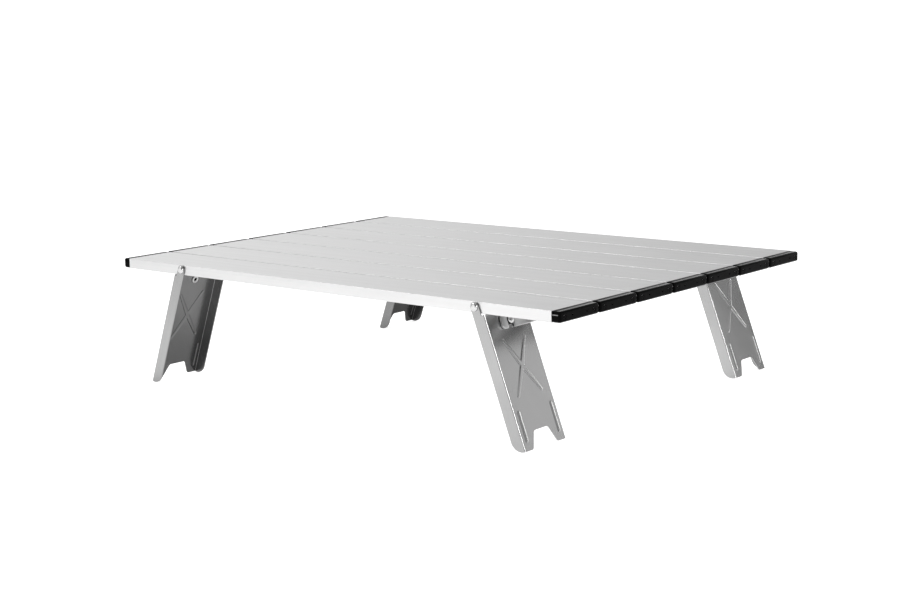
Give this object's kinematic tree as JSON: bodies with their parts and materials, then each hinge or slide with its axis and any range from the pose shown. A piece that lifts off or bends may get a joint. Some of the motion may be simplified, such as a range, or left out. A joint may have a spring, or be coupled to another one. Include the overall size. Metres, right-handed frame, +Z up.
{
  "type": "folding table",
  "caption": "Low roll-top camping table: flat aluminium slats with black end caps on elastic cords, splayed sheet-metal legs that fold in under the top, and tie bars.",
  "frame": {"origin": "on the floor, under the middle of the table top", "axes": "+X along the slats to the right-hand end, +Y from the front slat to the back slat, +Z up"},
  "size_m": [0.56, 0.4126, 0.126],
  "materials": {
    "slats": "satin silver anodised extrusion",
    "end_caps": "black moulded nylon, fine texture",
    "cords": "black braided elastic cord",
    "cord_stops": "plain crimp sleeve",
    "legs": "pressed sheet steel, satin zinc plate",
    "tie_bars": "flat steel strip, satin zinc plate",
    "rivets": "bright nickel plate",
    "washers": "plain zinc plate",
    "bushes": "black moulded plastic"
  },
  "bodies": {
    "top": {"slat_1": "slats", "cap_r_1": "end_caps", "cap_l_1": "end_caps", "slat_2": "slats", "cap_r_2": "end_caps", "cap_l_2": "end_caps", "slat_3": "slats", "cap_r_3": "end_caps", "cap_l_3": "end_caps", "slat_4": "slats", "cap_r_4": "end_caps", "cap_l_4": "end_caps", "slat_5": "slats", "cap_r_5": "end_caps", "cap_l_5": "end_caps", "slat_6": "slats", "cap_r_6": "end_caps", "cap_l_6": "end_caps", "slat_7": "slats", "cap_r_7": "end_caps", "cap_l_7": "end_caps", "cord_l": "cords", "cord_r": "cords", "cord_stop_fl": "cord_stops", "cord_stop_fr": "cord_stops", "cord_stop_bl": "cord_stops", "cord_stop_br": "cord_stops", "rivet_out_fr": "rivets", "rivet_in_fr": "rivets", "rivet_out_br": "rivets", "rivet_in_br": "rivets", "rivet_out_fl": "rivets", "rivet_in_fl": "rivets", "rivet_out_bl": "rivets", "rivet_in_bl": "rivets"},
    "leg_br": {"leg_br": "legs", "bar_r": "tie_bars", "pivot_br": "rivets", "washer_br": "washers"},
    "leg_fr": {"leg_fr": "legs", "stud_fr": "rivets", "bush_fr": "bushes"},
    "leg_fl": {"leg_fl": "legs", "bar_l": "tie_bars", "pivot_fl": "rivets", "washer_fl": "washers"},
    "leg_bl": {"leg_bl": "legs", "stud_bl": "rivets", "bush_bl": "bushes"}
  },
  "joints": [
    {"name": "fold_br", "type": "hinge", "parent": "top", "child": "leg_br", "pos_m": [0.1897, 0.1746, 0.1214], "axis": [0, 1, 0], "range_deg": [0, 110.5]},
    {"name": "fold_fr", "type": "hinge", "parent": "top", "child": "leg_fr", "pos_m": [0.1897, -0.1746, 0.1214], "axis": [0, 1, 0], "range_deg": [0, 110.5]},
    {"name": "fold_fl", "type": "hinge", "parent": "top", "child": "leg_fl", "pos_m": [-0.1897, -0.1746, 0.1214], "axis": [0, -1, 0], "range_deg": [0, 110.5]},
    {"name": "fold_bl", "type": "hinge", "parent": "top", "child": "leg_bl", "pos_m": [-0.1897, 0.1746, 0.1214], "axis": [0, -1, 0], "range_deg": [0, 110.5]}
  ],
  "couplings": [
    {"joint": "fold_fr", "follows": "fold_br", "ratio": 1},
    {"joint": "fold_bl", "follows": "fold_fl", "ratio": 1}
  ]
}
